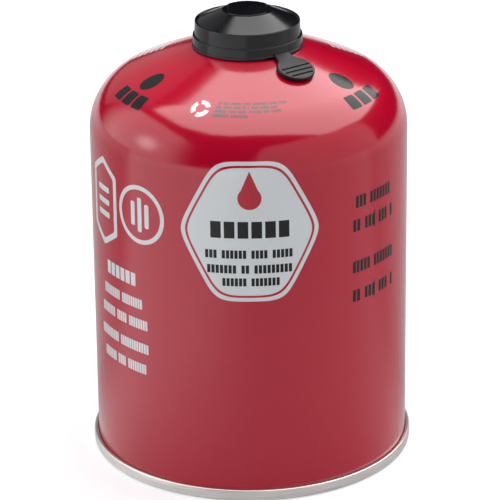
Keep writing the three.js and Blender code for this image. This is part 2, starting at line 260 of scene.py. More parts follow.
seam_foot = 1.0 * MM
barrel = 0.14 * MM
seam_inner = chuck_wall - END_SHEET / 2
seam_profile = softened([
    (seam_inner, 4 * MM, 0), (seam_inner, 0, 0.6 * MM), (SEAM_RADIUS - barrel, 0, 0.75 * MM),
    (SEAM_RADIUS, 1.5 * MM, 0.5 * MM), (SEAM_RADIUS, 2.4 * MM, 0.5 * MM),
    (SEAM_RADIUS - barrel, SEAM_HEIGHT, 0.5 * MM), (seam_mouth, SEAM_HEIGHT - 0.25 * MM, 0.25 * MM),
    (seam_mouth, seam_foot, 0), (chuck_wall + END_SHEET / 2, seam_foot, 0)], steps=5)
end_section = panel_face(-END_SHEET / 2) + seam_profile[1:] + panel_face(END_SHEET / 2)[::-1]
tin_end = turned("tin_end", end_section, steps=192)
stands_for(tin_end, "base_end", "canister")

# %% [markdown]
# ## The valve cup
#
# Under the cap sits the mounting cup: a thin pressing whose rim rolls over the can's curl, with a crimp
# below it, a flat countersink and the boss in the middle. A sheet is easy to draw once as its middle line
# and then to offset to both faces, which is what this helper does before the piece is spun.

# %% The cup and its gasket
def sheet_section(path, thickness):
    """Offsets a middle line to both faces of the sheet."""
    left, right = [], []
    for i, point in enumerate(path):
        here = Vector(point)
        before = Vector(path[max(i - 1, 0)])
        after = Vector(path[min(i + 1, len(path) - 1)])
        along = (after - before).normalized()
        across = Vector((-along.y, along.x)) * thickness / 2
        left.append(tuple(here + across))
        right.append(tuple(here - across))
    return right + left[::-1]


seat = 0.15 * MM
gasket_depth = 0.45 * MM
gasket_arc = CURL_RADIUS + seat + gasket_depth / 2
rim_arc = gasket_arc + gasket_depth / 2 + seat + SHEET / 2
cup_wall = curl_centre[0] - rim_arc
cup_floor = cup_low.z + SHEET / 2
boss_wall = BOSS_RADIUS - SHEET / 2
crimp = pocket_roof - 2 * seat - SHEET / 2
root = 1.1 * MM
boss_face = BOSS_TOP - SHEET / 2
boss_edge = 0.6 * MM
cup_path = (
    arc(curl_centre, rim_arc, math.radians(-40), math.pi, 30)
    + [(cup_wall, crimp + 0.9 * MM), (cup_wall + 0.1 * MM, crimp + 0.5 * MM)]
    + arc((cup_wall + 0.25 * MM, crimp - 0.55 * MM), 0.6 * MM, math.radians(60), math.radians(-60), 8)
    + arc((cup_wall - 1.2 * MM, cup_floor + 0.9 * MM), 0.9 * MM, 0, math.radians(-90), 6)
    + arc((boss_wall + root, cup_floor + root), root, math.radians(-90), math.radians(-180), 8)
    + arc((boss_wall - boss_edge, boss_face - boss_edge), boss_edge, 0, math.pi / 2, 6)
    + [(3.4 * MM, boss_face), (2.6 * MM, boss_face - 0.04 * MM), (2.1 * MM, boss_face)])
cup = turned("cup_pressing", sheet_section(cup_path, SHEET), steps=128, closed=True)
stands_for(cup, "valve_cup", "canister")

seal_path = arc(curl_centre, gasket_arc, math.radians(20), math.pi, 20) + [
    (curl_centre[0] - gasket_arc, pocket_roof + gasket_depth)]
cup_seal = turned("cup_seal", sheet_section(seal_path, gasket_depth), steps=96, closed=True)
stands_for(cup_seal, "cup_gasket", "canister")

# %% [markdown]
# ## The thread
#
# Burners screw onto a 7/16 inch thread of 28 turns to the inch. A small triangle of three vertices stands
# at the boss and a Screw modifier carries it round and up, one pitch a turn, which leaves a real helix.

# %% The thread on the boss
PITCH = 25.4 / 28 * MM
THREAD_RADIUS = 11.1 / 2 * MM
THREAD_TURNS = 8
thread_start = BOSS_TOP - 0.9 * MM - THREAD_TURNS * PITCH
thread = new_circle("boss_thread", 3, MM, (BOSS_RADIUS, 0, thread_start), "NOTHING")
flank = 0.38 * PITCH
buried = BOSS_RADIUS - 0.1 * MM
profile = [(buried, -flank), (THREAD_RADIUS, 0.0), (buried, flank)]
for vertex, (r, rise) in zip(thread.data.vertices, profile):
    vertex.co = (r - BOSS_RADIUS, 0, rise)
settle()
screw = thread.modifiers.new("turns", "SCREW")
screw.screw_offset = PITCH
screw.iterations = THREAD_TURNS
screw.steps = 64
screw.render_steps = 64
screw.use_merge_vertices = False
bpy.ops.object.modifier_apply(modifier=screw.name)
bpy.ops.object.mode_set(mode="EDIT")
bpy.ops.mesh.select_all(action="DESELECT")
bpy.ops.mesh.select_non_manifold(extend=False)
bpy.ops.mesh.fill()
finish_edit()
smooth(40)
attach(thread, "canister")
print("thread: %d turns" % THREAD_TURNS)

# %% [markdown]
# ## Inside the boss
#
# A rubber ring lies under the boss's top, the stem's flange seals against it from below, and a spring in
# the plastic housing keeps it shut. Only the stem's end shows through the hole, but each piece is turned
# with its chamfers.

# %% Ring, stem and housing
hole = 1.55 * MM
ring_radius = gasket_high.x
stem_ring = turned("stem_ring", softened([
    (hole, gasket_low.z, 0), (ring_radius, gasket_low.z, 0.1 * MM), (ring_radius, gasket_high.z, 0.1 * MM),
    (hole, gasket_high.z, 0.2 * MM), (hole, gasket_low.z + 0.2 * MM, 0)]), steps=64, closed=True)
stands_for(stem_ring, "stem_gasket", "canister")

stem_radius = 1.4 * MM
flange = stem_high.x
flange_top = gasket_low.z - seat
flange_foot = flange_top - 1.1 * MM
guide = 0.95 * MM
stem = turned("stem_pin", softened([
    (0, stem_low.z, 0), (guide, stem_low.z, 0.25 * MM), (guide, flange_foot, 0.1 * MM),
    (flange, flange_foot, 0.15 * MM), (flange, flange_top, 0.15 * MM), (stem_radius, flange_top, 0.1 * MM),
    (stem_radius, stem_high.z, 0.3 * MM), (0.7 * MM, stem_high.z, 0.15 * MM),
    (0.5 * MM, stem_high.z - 0.6 * MM, 0.1 * MM), (0, stem_high.z - 0.6 * MM, 0)]), steps=64)
stands_for(stem, "valve_stem", "stem")

barrel_radius = 4.1 * MM
collar_foot = housing_high.z - 1.8 * MM
chamber = 2.9 * MM
chamber_floor = spring_low.z - seat
floor_foot = chamber_floor - 1.2 * MM
tail = 2.0 * MM
bore = 0.8 * MM
housing = turned("housing_moulding", softened([
    (bore, housing_low.z, 0), (tail, housing_low.z, 0.5 * MM), (tail, floor_foot, 0.3 * MM),
    (barrel_radius, floor_foot, 0.5 * MM), (barrel_radius, collar_foot, 0.2 * MM),
    (housing_high.x, collar_foot, 0.2 * MM), (housing_high.x, housing_high.z, 0.2 * MM),
    (chamber, housing_high.z, 0.2 * MM), (chamber, chamber_floor, 0.3 * MM), (bore, chamber_floor, 0.1 * MM),
    (bore, housing_low.z + 0.2 * MM, 0)]), steps=64, closed=True)
stands_for(housing, "valve_housing", "canister")

# %% [markdown]
# ## The cap
#
# The cap is one moulding: a skirt in two bands with a ledge between them, a thin flange at its foot, a
# thin lip round the rim, a cone inside it and a flat pad on top. Its section is drawn once, inside and
# outside, with every corner softened by a tenth or two of a millimetre so that the edges catch the light.

# %% The cap's shell
CAP_WALL = 0.95 * MM
RIM = 17.53 * MM
LEDGE = 18.28 * MM
FLANGE = 18.68 * MM
cap_foot = crown_height(FLANGE) + 0.3 * MM
ledge_height = cap_foot + 3.8 * MM
rim_height = ledge_height + 4.75 * MM
plateau = rim_height + 3.5 * MM
valley = RIM - 0.7 * MM
valley_height = rim_height - 0.5 * MM
PLATEAU_RADIUS = 8.3 * MM
slope = (plateau - valley_height) / (valley - PLATEAU_RADIUS)
drop = CAP_WALL * math.sqrt(1 + slope ** 2)
upper_inner = RIM - CAP_WALL
lower_inner = LEDGE - CAP_WALL - 0.15 * MM
snap = RIM_RADIUS + 0.15 * MM
snap_height = curl_centre[1] - 0.75 * rim_arc
cap_section = softened([
    (0, plateau - CAP_WALL, 0),
    (PLATEAU_RADIUS - 0.2 * MM, plateau - CAP_WALL, 0.6 * MM),
    (upper_inner, valley_height - drop - slope * (upper_inner - valley), 0.4 * MM),
    (upper_inner, ledge_height + CAP_WALL / 2, 0.2 * MM),
    (lower_inner, ledge_height - CAP_WALL / 2, 0.2 * MM),
    (lower_inner, snap_height + 0.6 * MM, 0.2 * MM),
    (snap, snap_height, 0.2 * MM),
    (lower_inner, crown_height(lower_inner) + 0.3 * MM, 0.15 * MM),
    (FLANGE, cap_foot, 0.18 * MM),
    (FLANGE, cap_foot + 0.9 * MM, 0.22 * MM),
    (LEDGE + 0.07 * MM, cap_foot + 0.9 * MM, 0.12 * MM),
    (LEDGE, ledge_height, 0.22 * MM),
    (RIM + 0.15 * MM, ledge_height, 0.12 * MM),
    (RIM, rim_height, 0.22 * MM),
    (valley + 0.12 * MM, rim_height, 0.2 * MM),
    (valley, valley_height, 0.3 * MM),
    (PLATEAU_RADIUS, plateau, 0.35 * MM),
    (0, plateau, 0)], steps=4)
cap = turned("cap_moulding", cap_section, steps=160, sharp=50)
stands_for(cap, "cap", "cap")

# %% [markdown]
# ## The pad on top
#
# The pad is a disc with two flats, raised a third of a millimetre. A filled circle is cut by two bisects,
# extruded up, and its top edge bevelled.

# %% The cap's pad
PAD_RADIUS = 8.1 * MM
PAD_HALF = 6.5 * MM
pad_root = plateau - 0.2 * MM
pad = new_circle("cap_pad", 96, PAD_RADIUS, (0, 0, pad_root))
settle()
bpy.ops.object.mode_set(mode="EDIT")
for side in (1, -1):
    bpy.ops.mesh.select_all(action="SELECT")
    bpy.ops.mesh.bisect(
        plane_co=(side * PAD_HALF, 0, plateau), plane_no=(side, 0, 0), clear_outer=True, use_fill=False)
bpy.ops.mesh.select_all(action="SELECT")
bpy.ops.mesh.extrude_region_move(TRANSFORM_OT_translate={"value": (0, 0, PAD_TOP - pad_root)})
finish_edit()
bevelled(pad, 0.14 * MM, 3, 40)
smooth(35)
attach(pad, "cap")

# %% [markdown]
# ## The opener tab
#
# The tab grows from the flange, narrows to a neck and ends in a round head that a thumb can lift. It lies
# parallel to the crown. Its outline is a neck that flows into an ellipse. The three grooves are cut with
# small blocks.

# %% The tab's outline
TAB_HEADING = math.radians(-53.4)
TAB_THICKNESS = 1.15 * MM
TAB_BELLY = 0.3 * MM
NECK_HALF = 2.95 * MM
HEAD_PLACE = 26.5 * MM
HEAD_LENGTH = 6.0 * MM
HEAD_WIDTH = 6.5 * MM
TAB_FILLET = 1.6 * MM
tab_start = LEDGE - 0.5 * MM
tab_slope = math.atan2(crown_height(FLANGE) - crown_height(HEAD_PLACE), HEAD_PLACE - FLANGE)


def tab_outline():
    """Half of the outline from the root to the tip, as (out, across) points."""
    meet = math.pi - math.asin(NECK_HALF / HEAD_WIDTH) - TAB_FILLET / HEAD_LENGTH
    join = Vector((HEAD_PLACE + HEAD_LENGTH * math.cos(meet), HEAD_WIDTH * math.sin(meet)))
    waist = Vector((HEAD_PLACE + (HEAD_LENGTH + TAB_FILLET) * math.cos(meet), NECK_HALF))
    start = Vector((tab_start, NECK_HALF))
    points = []
    for k in range(12):
        t = k / 12
        points.append((1 - t) ** 2 * start + 2 * t * (1 - t) * waist + t ** 2 * join)
    for k in range(33):
        angle = meet * (1 - k / 32)
        points.append(Vector((HEAD_PLACE + HEAD_LENGTH * math.cos(angle), HEAD_WIDTH * math.sin(angle))))
    return points


half = tab_outline()
outline = half + [Vector((p.x, -p.y)) for p in half[-2::-1]]
print("tab outline: %d points" % len(outline))

# %% The tab
tab = new_circle("opener_tab", len(outline), HEAD_WIDTH)
for vertex, point in zip(tab.data.vertices, outline):
    vertex.co = (point.x, point.y, -TAB_BELLY)
start_edit()
bpy.ops.mesh.extrude_region_move(TRANSFORM_OT_translate={"value": (0, 0, TAB_THICKNESS + TAB_BELLY)})
finish_edit()
bevelled(tab, 0.4 * MM, 4, 50)

# %% [markdown]
# A groove is a long block with rounded ends, sunk nearly half a millimetre into the head. One Boolean for
# each groove takes it out, and the block is deleted.

# %% The grooves
GROOVE_WIDTH = 0.8 * MM
GROOVE_DEPTH = 0.45 * MM
GROOVE_PLACES = (-0.4 * MM, 1.6 * MM, 3.6 * MM)
GROOVE_MARGIN = 0.9 * MM
for outward in GROOVE_PLACES:
    chord = 2 * (HEAD_WIDTH * math.sqrt(1 - (outward / HEAD_LENGTH) ** 2) - GROOVE_MARGIN)
    bpy.ops.object.select_all(action="DESELECT")
    bpy.ops.mesh.primitive_cube_add(size=1, location=(HEAD_PLACE + outward, 0, TAB_THICKNESS))
    block = bpy.context.object
    block.scale = (GROOVE_WIDTH, chord, 2 * GROOVE_DEPTH)
    settle()
    bevelled(block, 0.16 * MM, 3)
    cut = tab.modifiers.new("groove", "BOOLEAN")
    cut.operation = "DIFFERENCE"
    cut.solver = "EXACT"
    cut.object = block
    bpy.context.view_layer.objects.active = tab
    bpy.ops.object.modifier_apply(modifier=cut.name)
    bpy.data.objects.remove(block)

# %% Put the tab in its place
place = (
    Matrix.Rotation(TAB_HEADING, 4, "Z")
    @ Matrix.Translation((FLANGE, 0, cap_foot + 0.15 * MM))
    @ Matrix.Rotation(tab_slope, 4, "Y")
    @ Matrix.Translation((-FLANGE, 0, 0)))
bpy.ops.object.select_all(action="DESELECT")
tab.select_set(True)
bpy.context.view_layer.objects.active = tab
tab.matrix_world = place
settle()
smooth(40)
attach(tab, "cap")
print("tab slopes down by %.1f degrees" % math.degrees(tab_slope))

# %% [markdown]
# ## Node helpers
#
# Materials are built from nodes. These helpers make a node with its inputs set, and a group with named
# sockets, so that each material below reads as a list of what feeds what.

# %% Node helpers
INK_EDGE = 0.06
CLOUD_SCALE = 45.0


def add(tree, kind, **settings):
    node = tree.nodes.new(kind)
    for key, value in settings.items():
        setattr(node, key, value)
    return node


def feed(tree, node, name, value):
    """Links a socket, or writes a plain number or colour, into an input."""
    socket = node.inputs[name]
    if isinstance(value, bpy.types.NodeSocket):
        tree.links.new(value, socket)
    else:
        socket.default_value = value


def fed(tree, node, **values):
    """Feeds inputs by name, with an underscore for each space, and gives the node back."""
    for name, value in values.items():
        feed(tree, node, name.replace("_", " "), value)
    return node


def maths(tree, operation, a, b=None, c=None):
    node = add(tree, "ShaderNodeMath", operation=operation)
    for index, value in enumerate((a, b, c)):
        if value is not None:
            feed(tree, node, index, value)
    return node.outputs[0]


def plus(tree, a, b):
    return maths(tree, "ADD", a, b)


def minus(tree, a, b):
    return maths(tree, "SUBTRACT", a, b)


def times(tree, a, b):
    return maths(tree, "MULTIPLY", a, b)


def smaller(tree, a, b):
    return maths(tree, "MINIMUM", a, b)


def largest(tree, *values):
    result = values[0]
    for value in values[1:]:
        result = maths(tree, "MAXIMUM", result, value)
    return result


def root_of_squares(tree, a, b):
    return maths(tree, "SQRT", plus(tree, times(tree, a, a), times(tree, b, b)))


def ramp(tree, value, start, end, low=0.0, high=1.0, kind="SMOOTHSTEP"):
    """Goes from low to high while the value goes from start to end."""
    node = add(tree, "ShaderNodeMapRange", interpolation_type=kind)
    fed(tree, node, Value=value, From_Min=start, From_Max=end, To_Min=low, To_Max=high)
    return node.outputs[0]


def mixed(tree, share, first, second):
    """The first colour where the share is nought, the second where it is one."""
    node = add(tree, "ShaderNodeMix", data_type="RGBA")
    tree.links.new(share, node.inputs["Factor"])
    for index, colour in ((6, first), (7, second)):
        feed(tree, node, index, colour)
    return node.outputs[2]


def object_point(tree):
    return add(tree, "ShaderNodeTexCoord").outputs["Object"]


def parts_of(tree, point):
    node = add(tree, "ShaderNodeSeparateXYZ")
    feed(tree, node, 0, point)
    return node.outputs


def length_of(tree, point):
    node = add(tree, "ShaderNodeVectorMath", operation="LENGTH")
    feed(tree, node, 0, point)
    return node.outputs["Value"]


def noise(tree, point, scale, detail):
    node = add(tree, "ShaderNodeTexNoise")
    return fed(tree, node, Vector=point, Scale=scale, Detail=detail).outputs["Fac"]


def bumped(tree, height, strength, distance):
    node = add(tree, "ShaderNodeBump")
    return fed(tree, node, Height=height, Strength=strength, Distance=distance).outputs[0]


def new_group(name, inputs, outputs):
    group = bpy.data.node_groups.new(name, "ShaderNodeTree")
    for label, kind in inputs:
        group.interface.new_socket(name=label, in_out="INPUT", socket_type=kind)
    for label, kind in outputs:
        group.interface.new_socket(name=label, in_out="OUTPUT", socket_type=kind)
    return group, add(group, "NodeGroupInput"), add(group, "NodeGroupOutput")


def use(tree, group, **inputs):
    return fed(tree, add(tree, "ShaderNodeGroup", node_tree=group), **inputs)


def new_material(name):
    material = bpy.data.materials.new(name)
    material.use_nodes = True
    tree = material.node_tree
    return material, tree, tree.nodes["Principled BSDF"]


def dress(piece, material):
    piece.data.materials.clear()
    piece.data.materials.append(material)


NUMBER, VECTOR = "NodeSocketFloat", "NodeSocketVector"

# %% [markdown]
# ## Where the print goes
#
# The print is laid out flat, as on the printer's sheet, in millimetres round the can and up its side. One
# group turns a point on the can into that sheet's two numbers, and for the crown into an angle and a
# distance from the axis.

# %% Group: print sheet coordinates
sheets, sheet_in, sheet_out = new_group(
    "print_sheet", [("Point", VECTOR)], [(label, NUMBER) for label in ("Around", "Up", "Out", "Angle")])
x, y, z = parts_of(sheets, sheet_in.outputs["Point"])
angle = maths(sheets, "ARCTAN2", x, times(sheets, y, -1.0))
around = times(sheets, angle, BODY_RADIUS / MM)
above = maths(sheets, "DIVIDE", minus(sheets, z, WALL_TOP), SHOULDER_RADIUS)
bent = maths(sheets, "ARCSINE", smaller(sheets, largest(sheets, above, 0.0), 0.9))
rise = times(sheets, bent, SHOULDER_RADIUS / MM)
straight = maths(sheets, "DIVIDE", smaller(sheets, z, WALL_TOP), MM)
up = plus(sheets, straight, rise)
out = maths(sheets, "DIVIDE", root_of_squares(sheets, x, y), MM)
fed(sheets, sheet_out, Around=around, Up=up, Out=out, Angle=angle)

# %% [markdown]
# A printed bar is a rounded rectangle. Its mask comes from the signed distance to its edge: negative
# inside, positive outside, and turned into ink over a hair's breadth so that the edge stays crisp but not
# jagged.

# %% Group: printed bar
bar_group, bar_in, bar_out = new_group(
    "print_bar",
    [(label, NUMBER) for label in ("Across", "Along", "Centre X", "Centre Y", "Half X", "Half Y", "Corner")],
    [("Ink", NUMBER)])
corner = bar_in.outputs["Corner"]
reaches = []
for position, centre, half_size in (("Across", "Centre X", "Half X"), ("Along", "Centre Y", "Half Y")):
    offset = minus(bar_group, bar_in.outputs[position], bar_in.outputs[centre])
    away = maths(bar_group, "ABSOLUTE", offset)
    inner = minus(bar_group, bar_in.outputs[half_size], corner)
    reaches.append(minus(bar_group, away, inner))
outer = [largest(bar_group, reach, 0.0) for reach in reaches]
diagonal = root_of_squares(bar_group, *outer)
inside = smaller(bar_group, largest(bar_group, reaches[0], reaches[1]), 0.0)
distance = minus(bar_group, plus(bar_group, diagonal, inside), corner)
feed(bar_group, bar_out, "Ink", ramp(bar_group, distance, INK_EDGE, -INK_EDGE))

# %% [markdown]
# The label is a hexagon with rounded corners. It is drawn as one quarter, mirrored both ways: a smooth
# maximum of the flat top and one sloping side. Its distance also places the thin line inside its border.

# %% Group: rounded hexagon
hexagon, hexagon_in, hexagon_out = new_group(
    "print_hexagon",
    [(label, NUMBER) for label in ("Across", "Along", "Half Width", "Half Height", "Side Angle", "Rounding")],
    [("Distance", NUMBER)])
wide = maths(hexagon, "ABSOLUTE", hexagon_in.outputs["Across"])
tip = times(hexagon, hexagon_in.outputs["Rounding"], 0.45)
tall = root_of_squares(hexagon, hexagon_in.outputs["Along"], tip)
flat = minus(hexagon, tall, hexagon_in.outputs["Half Height"])
sine = maths(hexagon, "SINE", hexagon_in.outputs["Side Angle"])
cosine = maths(hexagon, "COSINE", hexagon_in.outputs["Side Angle"])
beyond = minus(hexagon, wide, hexagon_in.outputs["Half Width"])
sloping = plus(hexagon, times(hexagon, beyond, sine), times(hexagon, tall, cosine))
blunted = maths(hexagon, "SMOOTH_MAX", flat, sloping, hexagon_in.outputs["Rounding"])
feed(hexagon, hexagon_out, "Distance", blunted)

# %% [markdown]
# A line of words becomes a line of small blocks at a letter's pitch. The bar group draws each word, and
# this group cuts it into blocks: it measures the distance to the nearest cell's edge and takes the ink
# away there.

# %% Group: letter gaps
gaps_group, gaps_in, gaps_out = new_group(
    "print_gaps", [(label, NUMBER) for label in ("Across", "Start", "Pitch", "Gap")], [("Ink", NUMBER)])
letter_pitch = gaps_in.outputs["Pitch"]
along_line = minus(gaps_group, gaps_in.outputs["Across"], gaps_in.outputs["Start"])
cell = maths(gaps_group, "FRACT", maths(gaps_group, "DIVIDE", along_line, letter_pitch))
to_edge = times(gaps_group, smaller(gaps_group, cell, minus(gaps_group, 1.0, cell)), letter_pitch)
half_gap = times(gaps_group, gaps_in.outputs["Gap"], 0.5)
past_gap = minus(gaps_group, to_edge, half_gap)
feed(gaps_group, gaps_out, "Ink", ramp(gaps_group, past_gap, -INK_EDGE, INK_EDGE))

# %% [markdown]
# Drawn and rolled metal, and lacquer over it, is never perfectly even. This group gives fine streaks that
# run round the axis, by squeezing noise along the height, and a soft cloud for the larger unevenness.

# %% Group: streaks round the axis
streaking, streak_in, streak_out = new_group(
    "turning_streaks", [("Point", VECTOR), ("Fineness", NUMBER), ("Stretch", NUMBER)],
    [("Streaks", NUMBER), ("Cloud", NUMBER)])
x, y, z = parts_of(streaking, streak_in.outputs["Point"])
round_angle = maths(streaking, "ARCTAN2", x, y)
radial = root_of_squares(streaking, x, y)
wave = add(streaking, "ShaderNodeCombineXYZ")
for index, (value, factor) in enumerate((
        (maths(streaking, "SINE", round_angle), "Stretch"),
        (maths(streaking, "COSINE", round_angle), "Stretch"),
        (minus(streaking, z, radial), "Fineness"))):
    feed(streaking, wave, index, times(streaking, value, streak_in.outputs[factor]))
feed(streaking, streak_out, "Streaks", noise(streaking, wave.outputs[0], 1.0, 4.0))
feed(streaking, streak_out, "Cloud", noise(streaking, streak_in.outputs["Point"], CLOUD_SCALE, 2.0))

# %% [markdown]
# ## The print
#
# The print is plain blocks, rings and frames, each a field of one colour. A line is (height, start,
# letters in each word, pitch, half height), in millimetres on the sheet.

# %% The lines of print
label_lines = [
    (96.7, -13.4, [6], 4.47, 2.9), (88.2, -14.9, [3, 6, 4, 5], 1.38, 1.45),
    (83.0, -14.3, [7, 2, 9], 1.41, 1.45), (78.5, -9.3, [6, 7], 1.36, 1.4)]
left_lines = [
    (73.2, -58.9, [6], 2.83, 2.3), (65.0, -61.3, [9, 9], 1.16, 1.75), (57.8, -63.2, [8, 5, 8], 1.135, 1.75),
    (49.3, -64.0, [10, 12], 1.18, 1.75), (41.8, -62.0, [7, 4, 8], 1.14, 1.75)]
right_lines = [
    (101.0, 37.6, [3, 7], 1.68, 2.1), (92.8, 36.4, [2, 3, 3, 1], 1.78, 2.1),
    (78.2, 36.3, [5, 7], 1.67, 2.1), (68.0, 36.3, [2, 3, 3, 1], 1.82, 2.1)]
crown_lines = [
    (38.3, -10.7, [2, 3, 7, 4, 9, 5, 5], 0.60, 0.6), (39.95, -11.0, [3, 5, 4, 2, 1, 4, 5, 4], 0.60, 0.6),
    (41.6, -11.3, [7, 4, 5, 7, 3, 6], 0.60, 0.6), (43.25, -11.6, [9, 9], 0.60, 0.6)]
LETTER_GAP = 0.22
LETTER_ROUNDING = 0.3
print("lines of print: %d" % len(label_lines + left_lines + right_lines + crown_lines))

# %% [markdown]
# ## Red lacquer
#
# The lacquer is a deep red under a clear, glossy coat. The red comes from the base colour; the pale sheen
# that the photograph shows on the wall comes from the coat alone, which reflects the bright room. Faint
# streaks from drawing the steel show through as a slight change of roughness.

# %% The lacquer's material
RED = (0.48, 0.0010, 0.023, 1)
WHITE_INK = (0.74, 0.78, 0.80, 1)
DARK_INK = (0.022, 0.021, 0.023, 1)
GREY_INK = (0.055, 0.02, 0.028, 1)

lacquer, tree, shader = new_material("red_lacquer")
POINT = object_point(tree)
sheet = use(tree, sheets, Point=POINT)
AROUND, UP, OUT, ANGLE = (sheet.outputs[name] for name in ("Around", "Up", "Out", "Angle"))


def bars(tree, marks, across, along):
    """The ink of a list of bars: the largest of their masks."""
    masks = []
    for cx, cy, hx, hy, corner in marks:
        bar = use(
            tree, bar_group, Across=across, Along=along, Centre_X=cx, Centre_Y=cy, Half_X=hx, Half_Y=hy,
            Corner=corner)
        masks.append(bar.outputs["Ink"])
    return largest(tree, *masks)


def words(tree, lines, across, along):
    """The ink of lines of words, each cut into blocks at its letters' pitch."""
    masks = []
    for height, start, letters, pitch, half_height in lines:
        marks = []
        left = start
        for count in letters:
            reach = count * pitch / 2
            marks.append((left + reach, height, reach, half_height, half_height * LETTER_ROUNDING))
            left += (count + 1) * pitch
        gaps = use(tree, gaps_group, Across=across, Start=start, Pitch=pitch, Gap=LETTER_GAP * pitch)
        masks.append(times(tree, bars(tree, marks, across, along), gaps.outputs["Ink"]))
    return largest(tree, *masks)


def band(tree, distance, low, high, soft=INK_EDGE):
    """One where a distance lies between two values, nought elsewhere."""
    above_low = ramp(tree, distance, low - soft, low + soft)
    below_high = ramp(tree, distance, high + soft, high - soft)
    return times(tree, above_low, below_high)


def ring_distance(tree, across, along, cx, cy):
    """Distance from a point of the sheet."""
    return root_of_squares(tree, minus(tree, across, cx), minus(tree, along, cy))


# %% The label on the front
LABEL_HEIGHT = 95.9
label = use(
    tree, hexagon, Across=AROUND, Along=minus(tree, UP, LABEL_HEIGHT), Half_Width=24.9,
    Half_Height=24.4, Side_Angle=math.radians(61), Rounding=7.5).outputs["Distance"]
label_field = band(tree, label, -200, 0)
label_line = band(tree, label, -2.05, -1.3)
DROP_TIP = 117.0
DROP_MIDDLE = 107.6
DROP_RADIUS = 3.9
DROP_TAPER = 0.42
drop_width = times(tree, minus(tree, DROP_TIP, UP), DROP_TAPER)
drop_round = ring_distance(tree, AROUND, UP, 0.0, DROP_MIDDLE)
drop_side = minus(tree, maths(tree, "ABSOLUTE", AROUND), drop_width)
drop_point = largest(tree, drop_side, minus(tree, DROP_MIDDLE + 1.6, UP))
drop = largest(tree, band(tree, drop_round, -1, DROP_RADIUS), band(tree, drop_point, -50, 0))
colour = mixed(tree, label_field, RED, WHITE_INK)
colour = mixed(tree, label_line, colour, RED)
colour = mixed(tree, drop, colour, RED)
label_ink = words(tree, label_lines, AROUND, UP)
colour = mixed(tree, label_ink, colour, DARK_INK)

# %% The wall's other marks
PLAQUE_SPOT = 60.2
PLAQUE_HEIGHT = 96.0
ROUNDEL_SPOT = 39.5
ROUNDEL_HEIGHT = 97.0
ROUNDEL_RADIUS = 10.2
FRAME_WIDTH = 1.5
stroke = [(46.9, 92.8, 0.3, 3.0, 0.2), (46.9, 68.0, 0.3, 3.0, 0.2)]
right_ink = largest(tree, words(tree, right_lines, AROUND, UP), bars(tree, stroke, AROUND, UP))
colour = mixed(tree, right_ink, colour, DARK_INK)
colour = mixed(tree, words(tree, left_lines, AROUND, UP), colour, WHITE_INK)
plaque = use(
    tree, hexagon, Across=minus(tree, UP, PLAQUE_HEIGHT),
    Along=plus(tree, AROUND, PLAQUE_SPOT),
    Half_Width=15.8, Half_Height=8.8, Side_Angle=math.radians(58), Rounding=1.2).outputs["Distance"]
roundel = ring_distance(tree, AROUND, UP, -ROUNDEL_SPOT, ROUNDEL_HEIGHT)
roundel_frame = band(tree, roundel, ROUNDEL_RADIUS - FRAME_WIDTH, ROUNDEL_RADIUS)
plaque_bars = [(-PLAQUE_SPOT, PLAQUE_HEIGHT + rise, 4.0, 1.0, 0.5) for rise in (4.4, 0.0, -4.4)]
roundel_bars = [
    (side - ROUNDEL_SPOT, ROUNDEL_HEIGHT, 0.9, reach, 0.6)
    for side, reach in ((-3.1, 4.2), (0.0, 6.0), (3.1, 4.2))]
inside_marks = bars(tree, plaque_bars + roundel_bars, AROUND, UP)
signs = largest(tree, band(tree, plaque, -1.9, 0), roundel_frame, inside_marks)
colour = mixed(tree, signs, colour, WHITE_INK)

# %% [markdown]
# On the crown the sheet is polar: marks are placed by an angle from the front and a distance from the
# axis. An arc of print at 42 mm from the axis is laid out as if it were straight.

# %% The crown's marks
CROWN_PRINT = 42.0
DARK_HEADINGS = (-61.0, 58.0)
DISC_OUT = 36.0
DISC_RADIUS = 4.3
LOOP_HEADING = -22.0
LOOP_OUT = 41.0
ARC = times(tree, ANGLE, CROWN_PRINT)
on_crown = times(tree, band(tree, OUT, -1, 50.5, 0.3), band(tree, UP, 114.5, 400))


def crown_spot(degrees):
    return math.radians(degrees) * CROWN_PRINT


dark_marks = []
far_marks = []
for heading in DARK_HEADINGS:
    spot = crown_spot(heading)
    dark_marks += [(spot + 5.6 * step, 44.2, 2.4, 2.3, 0.7) for step in (-1, 0, 1)]
for heading in (-118.0, 118.0):
    for row in range(6):
        spot = crown_spot(heading)
        far_marks += [(spot + 5.4 * step, 30.5 + 2.0 * row, 2.3, 0.55, 0.3) for step in (-1, 0, 1)]
loop_spot = crown_spot(LOOP_HEADING)
loop_out = ring_distance(tree, ARC, OUT, loop_spot, LOOP_OUT)
loop_turn = maths(tree, "ARCTAN2", minus(tree, OUT, LOOP_OUT), minus(tree, ARC, loop_spot))
loop_gaps = maths(tree, "COSINE", times(tree, loop_turn, 3.0))
loop = times(tree, band(tree, loop_out, 1.7, 3.3), band(tree, loop_gaps, -2, 0.72, 0.06))
dark_discs = [
    band(tree, ring_distance(tree, ARC, OUT, crown_spot(heading), DISC_OUT), -1, DISC_RADIUS)
    for heading in DARK_HEADINGS]
dark_crown = largest(tree, *dark_discs, bars(tree, dark_marks, ARC, OUT))
small_ink = times(tree, on_crown, words(tree, crown_lines, ARC, OUT))
crown_ink = times(tree, on_crown, dark_crown)
colour = mixed(tree, small_ink, colour, GREY_INK)
colour = mixed(tree, crown_ink, colour, DARK_INK)
white_crown = largest(tree, loop, bars(tree, far_marks, ARC, OUT))
colour = mixed(tree, times(tree, on_crown, white_crown), colour, WHITE_INK)

